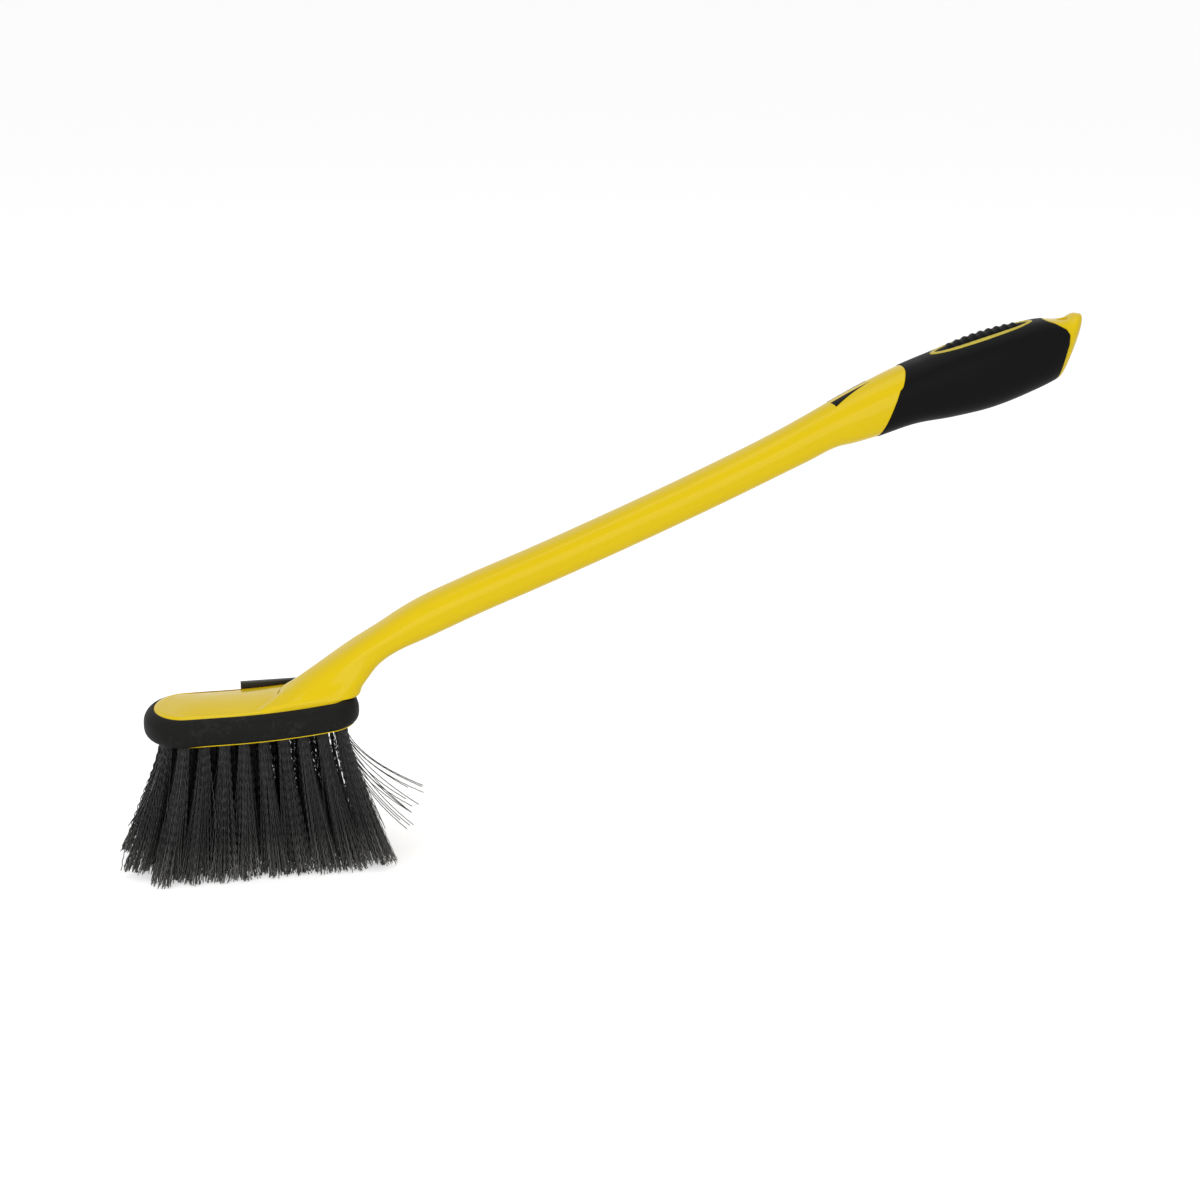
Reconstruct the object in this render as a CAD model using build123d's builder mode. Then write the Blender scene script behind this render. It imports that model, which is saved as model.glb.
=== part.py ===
"""Long-handled wheel brush: a tufted head with a bumper, a bent hollow handle and a soft grip.

Origin at the centre of the bristle trim, +Z up, +X from the head towards the grip, millimetres.
"""

import os
from math import cos, radians, sin, sqrt

from build123d import *

os.makedirs("parts", exist_ok=True)

# ---------------------------------------------------------------- driving dimensions
# Head, in plan: rounded nose, straight sides, rounded rear corners
head_nose_x = -47.0
head_rear_x = 47.0
head_half_width = 20.0
nose_depth = 15.0
rear_corner_radius = 9.0

# Head, in side view: level from the nose to bow_start, then bowed up towards the rear
bristle_length = 68.0
bow_start = -12.0
low_bow_radius = 420.0
top_bow_radius = 300.0
block_height_nose = 9.8
seam_slope = 2.5
deck_height = 14.5

# Bumper ring around the head
bumper_reach = 5.0
bumper_height = 12.4
bumper_edge_radius = 4.0
flange_reach = 2.6
flange_height = 0.9

# Tufts: outer and middle rows in columns, and a centre row half a pitch out of step
column_count = 10
column_pitch = 9.4
row_pitch = 7.2
hole_radius = 2.75
hole_depth = 8.0
fan_along = 1.38
fan_across = 1.7
tuft_tip_radius = 6.0
anchor_thickness = 0.4
anchor_height = 2.0

# Posts that pin the tufted block into the deck
post_radius = 2.5
post_height = 1.6
post_places = [(-24.0, -14.4), (-24.0, 14.4), (24.0, -14.4), (24.0, 14.4)]

# Scraper blade, held upright between the bumper and the far side of the head
scraper_length = 36.0
scraper_thickness = 2.6
scraper_front_x = -3.0
scraper_foot_height = 5.0
scraper_height = 11.6
scraper_inset = 1.5

# Handle, collar and grip, as sections along the handle.  Each holds the side-view place of its
# upper and lower edge, its width and the radius of its four corners.  Side-view places, here and
# below, are (x, height over the head's underside), so the handle goes up with longer bristles.
neck_sections = [
    ((7.0, 13.5), (45.5, 16.5), 38.0, 9.0),
    ((13.3, 17.6), (47.5, 20.5), 36.0, 9.0),
    ((20.6, 21.6), (53.5, 23.5), 33.0, 9.0),
    ((35.6, 30.9), (60.5, 28.5), 28.0, 9.0),
    ((50.6, 40.2), (66.0, 33.5), 25.0, 7.0),
    ((63.5, 48.2), (74.0, 37.2), 24.0, 7.0),
    ((76.2, 56.3), (83.8, 40.7), 24.0, 7.0),
]
shaft_sections = [
    ((106.3, 70.2), (113.7, 52.8), 24.0, 7.0),
    ((136.5, 81.8), (143.5, 64.2), 24.0, 7.0),
    ((181.4, 99.7), (188.6, 82.1), 24.0, 7.0),
    ((226.1, 118.6), (233.9, 101.0), 24.0, 7.0),
    ((270.8, 139.2), (279.2, 120.8), 24.0, 7.0),
    ((290.8, 149.8), (299.2, 128.8), 25.5, 7.5),
]
grip_sections = [
    ((305.5, 157.6), (314.5, 132.8), 28.0, 9.0),
    ((325.7, 166.5), (334.3, 137.7), 30.0, 10.0),
    ((345.8, 173.5), (354.2, 140.5), 31.0, 10.5),
    ((365.3, 179.7), (374.7, 144.5), 32.0, 11.0),
    ((385.4, 184.5), (394.6, 151.3), 30.0, 10.5),
    ((404.0, 187.7), (409.0, 157.2), 25.0, 9.0),
]
tail_section = ((421.5, 189.5), (411.5, 158.8), 17.0, 6.0)
core_tail_section = ((416.5, 188.3), (409.8, 161.5), 18.0, 6.5)

shaft_wall = 3.0
sleeve_wall = 3.0
tang_wall = 2.8
fit = 0.15

# Where the sleeve starts (a line leaning forward over the collar) and where the end cap takes over
sleeve_front_top = (328.4, 166.7)
sleeve_front_bottom = (316.6, 131.9)
cap_seam = [(398.0, 194.0), (402.0, 185.4), (411.8, 180.6), (410.4, 157.0)]

# Thumb pad and its bezel, seated in the top of the sleeve
pad_centre = (369.0, 180.7)
pad_tilt = 14.0
pad_length = 54.0
pad_width = 15.0
bezel_width = 2.0
bezel_depth = 2.4
pad_plate = 1.8
rib_count = 9
rib_pitch = 4.3
rib_width = 2.4
rib_height = 1.5

# Accent inlays in the collar: a wedge, wide at the head end
accent_start = (291.5, 149.4)
accent_tilt = 23.3
accent_length = 21.0
accent_width = 4.6
accent_inner_y = 4.0
accent_depth = 1.2

# Hole through the tail for a hook or a cord
hang_hole_radius = 2.5
hang_hole_top = (411.5, 188.0)
hang_hole_lean = 30.0

# ---------------------------------------------------------------- sizes that follow
deck_top_z = bristle_length + deck_height
bumper_low_z = bristle_length + flange_height + fit
bumper_top_z = bristle_length + flange_height + bumper_height
seam_nose_z = bristle_length + block_height_nose
scraper_y = head_half_width + scraper_inset + scraper_thickness / 2
scraper_foot_z = bristle_length + scraper_foot_height
seam_plane = Plane(
    origin=(head_nose_x, 0, seam_nose_z),
    x_dir=(cos(radians(seam_slope)), 0, sin(radians(seam_slope))),
    z_dir=(-sin(radians(seam_slope)), 0, cos(radians(seam_slope))),
)


# ---------------------------------------------------------------- shared shapes
def bow_rise(x, radius):
    """How far a bowed level has risen at x."""
    reach = max(0.0, x - bow_start)
    return radius - sqrt(radius**2 - reach**2)


def head_outline(grow):
    """Plan of the head, grown outward on every side."""
    nose_centre = head_nose_x + nose_depth
    with Locations((nose_centre, 0)):
        Ellipse(nose_depth + grow, head_half_width + grow)
        Rectangle(
            head_rear_x + grow - nose_centre,
            2 * (head_half_width + grow),
            align=(Align.MIN, Align.CENTER),
        )
    fillet(vertices().group_by(Axis.X)[-1], radius=rear_corner_radius + grow)


def head_slab(grow, low_z, top_z, top_radius):
    """Solid of the head's plan between two levels that bow up towards the rear."""
    front = head_nose_x - 20
    rear = head_rear_x + 20
    middle = (bow_start + rear) / 2
    low_rear = (rear, low_z + bow_rise(rear, low_bow_radius))
    top_rear = (rear, top_z + bow_rise(rear, top_radius))
    with BuildPart() as slab:
        with BuildSketch(Plane.XY.offset(low_z - 1)):
            head_outline(grow)
        extrude(amount=top_z - low_z + 20)
        with BuildSketch(Plane.XZ):
            with BuildLine():
                Polyline((bow_start, low_z), (front, low_z), (front, top_z), (bow_start, top_z))
                low_middle = (middle, low_z + bow_rise(middle, low_bow_radius))
                ThreePointArc((bow_start, low_z), low_middle, low_rear)
                top_middle = (middle, top_z + bow_rise(middle, top_radius))
                ThreePointArc((bow_start, top_z), top_middle, top_rear)
                Line(low_rear, top_rear)
            make_face()
        extrude(amount=2 * head_half_width, both=True, mode=Mode.INTERSECT)
    return slab.part


def section_plane(section):
    """Plane of one handle section, square to its side-view chord."""
    (top_x, top_z), (low_x, low_z) = section[:2]
    return Plane(
        origin=((top_x + low_x) / 2, 0, bristle_length + (top_z + low_z) / 2),
        x_dir=(0, 1, 0),
        z_dir=(top_z - low_z, 0, low_x - top_x),
    )


def handle_skin(sections, inset):
    """Solid lofted through handle sections that are drawn in by inset."""
    with BuildPart() as skin:
        for section in sections:
            (top_x, top_z), (low_x, low_z), width, corner = section
            height = sqrt((top_x - low_x) ** 2 + (top_z - low_z) ** 2)
            with BuildSketch(section_plane(section)):
                RectangleRounded(width - 2 * inset, height - 2 * inset, max(corner - inset, 1.0))
        loft()
    return skin.part


def side_prism(points):
    """Block right across the handle with the given side-view outline."""
    with BuildPart() as prism:
        with BuildSketch(Plane.XZ):
            with BuildLine():
                Polyline(*[(x, bristle_length + height) for x, height in points], close=True)
            make_face()
        extrude(amount=2 * head_half_width, both=True)
    return prism.part


def column_x(column):
    """Place of a tuft column along the head."""
    return (column - (column_count - 1) / 2) * column_pitch


def block_low_z(x):
    """Height of the block's underside at x."""
    return bristle_length + bow_rise(x, low_bow_radius)


# ---------------------------------------------------------------- tuft places
# The first column sits in the narrow nose, so it keeps only its inner rows.
outer_rows = [-2 * row_pitch, -row_pitch, row_pitch, 2 * row_pitch]
nose_rows = [-row_pitch, row_pitch]
column_places = []
for column in range(column_count):
    rows = nose_rows if column == 0 else outer_rows
    column_places.append([(column_x(column), y) for y in rows])
centre_places = [(column_x(column) + column_pitch / 2, 0.0) for column in range(column_count - 1)]
tuft_places = [place for places in column_places for place in places] + centre_places

# ---------------------------------------------------------------- tufted block
head_core = head_slab(0, bristle_length, deck_top_z, top_bow_radius)
flange_top_z = bristle_length + flange_height
block_flange = head_slab(flange_reach, bristle_length, flange_top_z, low_bow_radius)

with BuildPart() as brush_block:
    add(head_core)
    split(bisect_by=seam_plane, keep=Keep.BOTTOM)
    add(block_flange)
    for x, y in post_places:
        with Locations(seam_plane):
            with Locations((x - head_nose_x, y)):
                Cylinder(
                    post_radius, post_height, align=(Align.CENTER, Align.CENTER, Align.MIN)
                )
    for x, y in tuft_places:
        with Locations((x, y, block_low_z(x) + hole_depth)):
            Cylinder(
                hole_radius,
                2 * hole_depth,
                align=(Align.CENTER, Align.CENTER, Align.MAX),
                mode=Mode.SUBTRACT,
            )
brush_block.part.label = "brush_block"
export_step(brush_block.part, "parts/brush_block.step")


# ---------------------------------------------------------------- tufts and their anchors
def tuft(x, y):
    """One bundle of bristles: folded round its anchor in the hole, fanning to the trim."""
    low_z = block_low_z(x)
    root_radius = hole_radius - fit
    with BuildPart() as bundle:
        with BuildSketch(Plane.XY.offset(low_z)):
            with Locations((x, y)):
                Circle(root_radius)
        with BuildSketch(Plane.XY):
            with Locations((x * fan_along, y * fan_across)):
                Circle(tuft_tip_radius)
        loft()
        with Locations((x, y, low_z)):
            Cylinder(
                root_radius, hole_depth - fit, align=(Align.CENTER, Align.CENTER, Align.MIN)
            )
        with Locations((x, y, low_z + hole_depth)):
            Box(
                2 * hole_radius,
                anchor_thickness + 2 * fit,
                anchor_height + fit,
                align=(Align.CENTER, Align.CENTER, Align.MAX),
                mode=Mode.SUBTRACT,
            )
    return bundle.part


tuft_groups = {f"tuft_column_{i + 1:02d}": column_places[i] for i in range(column_count)}
tuft_groups["tuft_centre_row"] = centre_places
for node, places in tuft_groups.items():
    with BuildPart() as tufts:
        add([tuft(x, y) for x, y in places])
    tufts.part.label = node
    export_step(tufts.part, f"parts/{node}.step")

with BuildPart() as tuft_anchors:
    for x, y in tuft_places:
        with Locations((x, y, block_low_z(x) + hole_depth)):
            Box(
                2 * (hole_radius - fit),
                anchor_thickness,
                anchor_height,
                align=(Align.CENTER, Align.CENTER, Align.MAX),
            )
tuft_anchors.part.label = "tuft_anchors"
export_step(tuft_anchors.part, "parts/tuft_anchors.step")

# ---------------------------------------------------------------- handle body
(front_top_x, front_top_z), (front_low_x, front_low_z) = sleeve_front_top, sleeve_front_bottom
sleeve_front = Plane(
    origin=(front_low_x, 0, bristle_length + front_low_z),
    x_dir=(0, 1, 0),
    z_dir=(front_top_z - front_low_z, 0, front_low_x - front_top_x),
)
body_sections = neck_sections + shaft_sections + grip_sections[:3]
outer_skin = handle_skin(body_sections, 0)
core_sections = grip_sections + [core_tail_section]
grip_core = handle_skin(core_sections, sleeve_wall + fit)
grip_bore = handle_skin(core_sections, sleeve_wall + fit + tang_wall)
shaft_bore = handle_skin(neck_sections[-2:] + shaft_sections + grip_sections[:1], shaft_wall)
tang_end = section_plane(grip_sections[-1])
tang = split(grip_core, bisect_by=tang_end, keep=Keep.BOTTOM)
tang_bore = split(grip_bore, bisect_by=tang_end, keep=Keep.BOTTOM)

# Accent inlays: the wedge cut out of the collar's outermost skin, on both sides
collar_shell = outer_skin - handle_skin(body_sections, accent_depth)
accents = {}
for node, side in (("accent_inlay_near", -1), ("accent_inlay_far", 1)):
    with BuildPart() as accent:
        accent_plane = Plane(
            origin=(accent_start[0], 0, bristle_length + accent_start[1]),
            x_dir=(cos(radians(accent_tilt)), 0, sin(radians(accent_tilt))),
            z_dir=(-sin(radians(accent_tilt)), 0, cos(radians(accent_tilt))),
        )
        with BuildSketch(accent_plane):
            with BuildLine():
                inner = side * accent_inner_y
                outer = side * (accent_inner_y + accent_width)
                tip = (accent_length, inner)
                Polyline((0, outer), (0, inner), tip)
                ThreePointArc(tip, (accent_length * 0.45, side * (accent_inner_y + 3.4)), (0, outer))
            make_face()
        extrude(amount=12, both=True)
        add(collar_shell, mode=Mode.INTERSECT)
    accent.part.label = node
    export_step(accent.part, f"parts/{node}.step")
    accents[node] = accent.part

with BuildPart() as handle_body:
    add(head_core)
    split(bisect_by=seam_plane, keep=Keep.TOP)
    add(outer_skin)
    split(bisect_by=sleeve_front, keep=Keep.BOTTOM)
    add(tang)
    add(shaft_bore, mode=Mode.SUBTRACT)
    add(tang_bore, mode=Mode.SUBTRACT)
    for x, y in post_places:
        with Locations(seam_plane):
            with Locations((x - head_nose_x, y)):
                Cylinder(
                    post_radius + fit,
                    post_height + fit,
                    align=(Align.CENTER, Align.CENTER, Align.MIN),
                    mode=Mode.SUBTRACT,
                )
    for inlay in accents.values():
        add(inlay, mode=Mode.SUBTRACT)
handle_body.part.label = "handle_body"
export_step(handle_body.part, "parts/handle_body.step")

# ---------------------------------------------------------------- bumper and scraper
bumper_outer = head_slab(bumper_reach, bumper_low_z, bumper_top_z, top_bow_radius)
head_clearance = head_slab(fit, bristle_length - 5, deck_top_z + 10, top_bow_radius)

with BuildPart() as scraper_blade:
    with Locations((scraper_front_x, scraper_y, scraper_foot_z)):
        Box(
            scraper_length,
            scraper_thickness,
            scraper_height,
            align=(Align.MIN, Align.CENTER, Align.MIN),
        )
    fillet(scraper_blade.edges().filter_by(Axis.X).group_by(Axis.Z)[-1], radius=0.6)
scraper_blade.part.label = "scraper_blade"
export_step(scraper_blade.part, "parts/scraper_blade.step")

with BuildPart() as bumper:
    add(bumper_outer)
    fillet(bumper.edges().filter_by(Axis.Z, reverse=True), radius=bumper_edge_radius)
    add(head_clearance, mode=Mode.SUBTRACT)
    with Locations((scraper_front_x - fit, scraper_y, scraper_foot_z)):
        Box(
            scraper_length + 2 * fit,
            scraper_thickness + 2 * fit,
            40,
            align=(Align.MIN, Align.CENTER, Align.MIN),
            mode=Mode.SUBTRACT,
        )
bumper.part.label = "bumper"
export_step(bumper.part, "parts/bumper.step")

# ---------------------------------------------------------------- grip sleeve, pad and end cap
cap_region = side_prism(cap_seam + [(409.0, 137.0), (450.0, 137.0), (450.0, 212.0), (398.0, 212.0)])
grip_skin = handle_skin(grip_sections + [tail_section], 0)
sleeve_bore = handle_skin(core_sections, sleeve_wall)
pad_plane = Plane(
    origin=(pad_centre[0], 0, bristle_length + pad_centre[1]),
    x_dir=(cos(radians(pad_tilt)), 0, sin(radians(pad_tilt))),
    z_dir=(-sin(radians(pad_tilt)), 0, cos(radians(pad_tilt))),
)

with BuildPart() as grip_sleeve:
    add(grip_skin)
    split(bisect_by=sleeve_front, keep=Keep.TOP)
    add(cap_region, mode=Mode.SUBTRACT)
    add(sleeve_bore, mode=Mode.SUBTRACT)
    with BuildSketch(pad_plane.offset(-bezel_depth)):
        Ellipse(pad_length / 2 + fit, pad_width / 2 + fit)
    extrude(amount=20, mode=Mode.SUBTRACT)
grip_sleeve.part.label = "grip_sleeve"
export_step(grip_sleeve.part, "parts/grip_sleeve.step")

with BuildPart() as pad_bezel:
    with BuildSketch(pad_plane.offset(-bezel_depth)):
        Ellipse(pad_length / 2, pad_width / 2)
        Ellipse(pad_length / 2 - bezel_width, pad_width / 2 - bezel_width, mode=Mode.SUBTRACT)
    extrude(amount=bezel_depth)
pad_bezel.part.label = "pad_bezel"
export_step(pad_bezel.part, "parts/pad_bezel.step")

with BuildPart() as thumb_pad:
    with BuildSketch(pad_plane.offset(-bezel_depth)):
        Ellipse(pad_length / 2 - bezel_width - fit, pad_width / 2 - bezel_width - fit)
    extrude(amount=pad_plate)
    with BuildSketch(pad_plane.offset(-bezel_depth)):
        with GridLocations(rib_pitch, 1, rib_count, 1):
            Rectangle(rib_width, pad_width)
        Ellipse(
            pad_length / 2 - bezel_width - fit,
            pad_width / 2 - bezel_width - fit,
            mode=Mode.INTERSECT,
        )
    extrude(amount=bezel_depth + rib_height)
thumb_pad.part.label = "thumb_pad"
export_step(thumb_pad.part, "parts/thumb_pad.step")

hang_hole_plane = Plane(
    origin=(hang_hole_top[0], 0, bristle_length + hang_hole_top[1]),
    x_dir=(0, 1, 0),
    z_dir=(sin(radians(hang_hole_lean)), 0, -cos(radians(hang_hole_lean))),
)
plug_skin = handle_skin(core_sections, sleeve_wall + tang_wall + 2 * fit)
cap_plug = split(plug_skin, bisect_by=section_plane(grip_sections[-2]), keep=Keep.TOP)
tang_clearance = split(sleeve_bore, bisect_by=tang_end, keep=Keep.BOTTOM)

with BuildPart() as end_cap:
    add(grip_skin)
    add(cap_region, mode=Mode.INTERSECT)
    add(grip_core)
    add(tang_clearance, mode=Mode.SUBTRACT)
    add(cap_plug)
    with BuildSketch(hang_hole_plane.offset(-10)):
        Circle(hang_hole_radius)
    extrude(amount=60, mode=Mode.SUBTRACT)
end_cap.part.label = "end_cap"
export_step(end_cap.part, "parts/end_cap.step")
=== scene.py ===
"""Long-handled wheel brush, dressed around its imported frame. Row frame, metres, +Z up.

The brush is one moulded handle that opens out into a head, a bumper ring, a soft grip with a
thumb pad, a tail piece and eleven groups of crimped bristle tufts. Sizes are in millimetres
until a mesh is made.
"""

import logging
from dataclasses import dataclass, field
from enum import Enum
from typing import Sequence

import bmesh
import bpy
import numpy as np
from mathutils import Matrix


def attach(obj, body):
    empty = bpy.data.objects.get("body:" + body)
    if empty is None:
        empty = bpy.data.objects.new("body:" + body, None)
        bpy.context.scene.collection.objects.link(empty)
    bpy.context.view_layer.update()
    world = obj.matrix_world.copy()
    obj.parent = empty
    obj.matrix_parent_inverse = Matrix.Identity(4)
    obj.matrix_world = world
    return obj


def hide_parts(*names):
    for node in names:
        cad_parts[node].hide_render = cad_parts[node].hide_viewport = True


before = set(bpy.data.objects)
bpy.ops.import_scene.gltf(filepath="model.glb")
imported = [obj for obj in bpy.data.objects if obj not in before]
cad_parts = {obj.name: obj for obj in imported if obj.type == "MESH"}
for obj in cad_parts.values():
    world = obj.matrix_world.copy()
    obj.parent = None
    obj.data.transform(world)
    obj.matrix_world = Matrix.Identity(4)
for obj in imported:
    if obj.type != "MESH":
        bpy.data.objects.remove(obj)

MM = 0.001
BODY = "root"
BAKE_UV = "OFBake"
# Attribute of painted light: how brightly each bristle strand is painted, as if catching the
# lamps.
STRAND_PAINTED_LIGHT = "strand_painted_light"
GOLDEN_ANGLE = 2.39996
# Share of a groove's depth that the rounding of its edge takes.
EDGE_ROUND = 0.6
# Steps over the deck's rim: how far outside the head's plan, and how far over the deck.
RIM_STEPS = ((-0.2, -4.0), (-0.2, -0.9), (-0.5, -0.25), (-1.2, 0.0))
# Shares of the way in from the rim to the foot of the neck, one ring of the deck each.
COVE_SHARES = (0.12, 0.35, 0.62, 0.86, 1.0)
Array = np.ndarray
Draws = np.random.Generator
Point = tuple[float, float]
Material = bpy.types.Material
Piece = bpy.types.Object
Socket = bpy.types.NodeSocket
Tree = bpy.types.NodeTree

log = logging.getLogger("wheel_brush")


# ------------------------------------------------------------------ numbers and meshes
def smooth(t: Array) -> Array:
    """Ease from 0 to 1: three t squared minus two t cubed, held flat outside 0 to 1."""
    t = np.clip(t, 0.0, 1.0)
    return t * t * (3.0 - 2.0 * t)


def bent(wave: Array, power: float | Array) -> Array:
    """A wave between minus one and one with its size raised to a power and its sign kept."""
    return np.sign(wave) * np.abs(wave) ** power


def linear(colour: str) -> tuple[float, float, float, float]:
    """Turn an sRGB hex colour into the linear colour that a socket takes.

    Args:
        colour: hex digits with a leading hash.
    Returns:
        Linear red, green, blue and an alpha of one.
    """
    srgb = np.array([int(colour[i:i + 2], 16) for i in (1, 3, 5)]) / 255.0
    rgb = np.where(srgb <= 0.04045, srgb / 12.92, ((srgb + 0.055) / 1.055) ** 2.4)
    return (*map(float, rgb), 1.0)


def resample(points: Array, count: int) -> Array:
    """Spread points evenly by length along a polyline.

    Args:
        points: rows of coordinates.
        count: how many points to return, both ends included.
    Returns:
        Array (count, coordinates).
    """
    steps = np.linalg.norm(np.diff(points, axis=0), axis=1)
    run = np.concatenate([[0.0], np.cumsum(steps)])
    wanted = np.linspace(0.0, run[-1], count)
    return np.stack([np.interp(wanted, run, axis) for axis in points.T], axis=1)


def blend_rings(rings: Array, stops: Array, at: Array) -> Array:
    """Carry a ring of points smoothly through given rings.

    A cubic runs through every ring; its slope at a ring is the mean of the slopes on both
    sides, each weighted by the other side's length.

    Args:
        rings: array (rings, points, 3).
        stops: place of each ring along the run.
        at: places to evaluate, either (n,) or (n, points) where every point has its own.
    Returns:
        Array (n, points, 3).
    """
    gaps = np.diff(stops)[:, None, None]
    slopes = np.diff(rings, axis=0) / gaps
    inner = (slopes[:-1] * gaps[1:] + slopes[1:] * gaps[:-1]) / (gaps[:-1] + gaps[1:])
    tangents = np.concatenate([slopes[:1], inner, slopes[-1:]])
    if at.ndim == 1:
        at = np.repeat(at[:, None], rings.shape[1], axis=1)
    span = np.clip(np.searchsorted(stops, at, side="right") - 1, 0, len(stops) - 2)
    column = np.arange(rings.shape[1])[None, :]
    length = (stops[span + 1] - stops[span])[..., None]
    t = (at - stops[span])[..., None] / length
    a, b = rings[span, column], rings[span + 1, column]
    m, n = tangents[span, column] * length, tangents[span + 1, column] * length
    return (
        a * (2 * t**3 - 3 * t**2 + 1) + m * (t**3 - 2 * t**2 + t)
        + b * (3 * t**2 - 2 * t**3) + n * (t**3 - t**2)
    )


def grid_normals(points: Array) -> Array:
    """Outward unit normals of a grid (rows, points, 3) whose rows are closed rings."""
    along = np.gradient(points, axis=0)
    around = np.roll(points, -1, axis=1) - np.roll(points, 1, axis=1)
    normal = np.cross(along, around)
    return normal / np.maximum(np.linalg.norm(normal, axis=2, keepdims=True), 1e-9)


def grid_quads(rows: int, columns: int, wrap_rows: bool = False) -> Array:
    """Quads of a grid whose rows are closed rings, and whose columns may close too."""
    last = rows if wrap_rows else rows - 1
    i, j = np.meshgrid(np.arange(last), np.arange(columns), indexing="ij")
    k, n = (i + 1) % rows, (j + 1) % columns
    quads = np.stack([i * columns + j, k * columns + j, k * columns + n, i * columns + n], axis=2)
    return quads.reshape(-1, 4)


def fan(ring: Array, hub: int, flip: bool) -> Array:
    """Triangles from a ring of vertices to one hub vertex."""
    following = np.roll(ring, -1)
    hubs = np.full(len(ring), hub)
    return np.stack([following, ring, hubs] if flip else [ring, following, hubs], axis=1)


def add_object(name: str, data: bpy.types.ID) -> Piece:
    """Link a new object that shows the data."""
    made = bpy.data.objects.new(name, data)
    bpy.context.scene.collection.objects.link(made)
    return made


def add_mesh(
    name: str,
    points: Array,
    quads: Array,
    triangles: Array | None = None,
    uv: Array | None = None,
    shade: Array | None = None,
) -> Piece:
    """Make one smooth-shaded mesh object at the origin from points in millimetres.

    Args:
        name: object name.
        points: (n, 3) places in millimetres.
        quads: (q, 4) vertex numbers.
        triangles: optional (t, 3) vertex numbers.
        uv: optional (n, 2) place of each vertex on the piece's own map.
        shade: optional (n,) share of light that each vertex's strand catches.
    Returns:
        The linked object.
    """
    corners = [quads.ravel()]
    sizes = [np.full(len(quads), 4)]
    if triangles is not None and len(triangles):
        corners.append(triangles.ravel())
        sizes.append(np.full(len(triangles), 3))
    corner = np.concatenate(corners).astype(np.int32)
    size = np.concatenate(sizes).astype(np.int32)
    start = np.concatenate([[0], np.cumsum(size)[:-1]]).astype(np.int32)
    mesh = bpy.data.meshes.new(name)
    mesh.vertices.add(len(points))
    mesh.vertices.foreach_set("co", (points * MM).astype(np.float32).ravel())
    mesh.loops.add(len(corner))
    mesh.loops.foreach_set("vertex_index", corner)
    mesh.polygons.add(len(size))
    mesh.polygons.foreach_set("loop_start", start)
    mesh.polygons.foreach_set("use_smooth", np.ones(len(size), bool))
    mesh.update(calc_edges=True)
    if uv is not None:
        layer = mesh.uv_layers.new(name=BAKE_UV)
        layer.uv.foreach_set("vector", uv[corner].astype(np.float32).ravel())
    if shade is not None:
        made = mesh.attributes.new(STRAND_PAINTED_LIGHT, "FLOAT", "POINT")
        made.data.foreach_set("value", shade.astype(np.float32))
    mesh.validate()
    return add_object(name, mesh)


# ------------------------------------------------------------------ finishes
def put(target: bpy.types.Node, **values: object) -> None:
    """Set a node's input values by name, with underscores for spaces."""
    for key, value in values.items():
        target.inputs[key.replace("_", " ")].default_value = value


def node(
    tree: Tree,
    kind: str,
    settings: dict | None = None,
    links: dict | None = None,
    **values: object,
) -> bpy.types.Node:
    """Add one shader node.

    Args:
        tree: the material's node tree.
        kind: node type.
        settings: attributes of the node, such as its operation.
        links: input name or number to the output socket that feeds it.
        values: input values by name, with underscores for spaces.
    Returns:
        The node.
    """
    made = tree.nodes.new(kind)
    for key, value in (settings or {}).items():
        setattr(made, key, value)
    put(made, **values)
    for key, socket in (links or {}).items():
        tree.links.new(socket, made.inputs[key])
    return made


def new_material(name: str) -> tuple[Material, Tree, bpy.types.Node]:
    """Make an empty node material and return it with its tree and its shader."""
    made = bpy.data.materials.new(name)
    made.use_nodes = True
    return made, made.node_tree, made.node_tree.nodes["Principled BSDF"]


def noise(
    tree: Tree, place: Socket, size_mm: float, detail: float = 2.0, roughness: float = 0.5
) -> Socket:
    """Add a noise whose marks are about size_mm across and return its value."""
    made = node(
        tree, "ShaderNodeTexNoise", links={"Vector": place},
        Scale=1.0 / (size_mm * MM), Detail=detail, Roughness=roughness,
    )
    return made.outputs["Fac"]


def mix(tree: Tree, share: Socket, first: Socket | str, second: str) -> Socket:
    """Mix two colours, each a hex colour or (the first only) a socket, by a share."""
    made = node(tree, "ShaderNodeMix", {"data_type": "RGBA"}, {0: share})
    made.inputs[7].default_value = linear(second)
    if isinstance(first, str):
        made.inputs[6].default_value = linear(first)
    else:
        tree.links.new(first, made.inputs[6])
    return made.outputs[2]


def map_range(tree: Tree, value: Socket, low: float, high: float) -> Socket:
    """Map a value between zero and one onto low to high."""
    made = node(tree, "ShaderNodeMapRange", None, {"Value": value}, To_Min=low, To_Max=high)
    return made.outputs["Result"]


class Filler(Enum):
    """What the surface pattern of a finish is made of."""

    MOULDED = "moulded"
    SPARKED = "sparked"
    DUSTED = "dusted"


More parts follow.
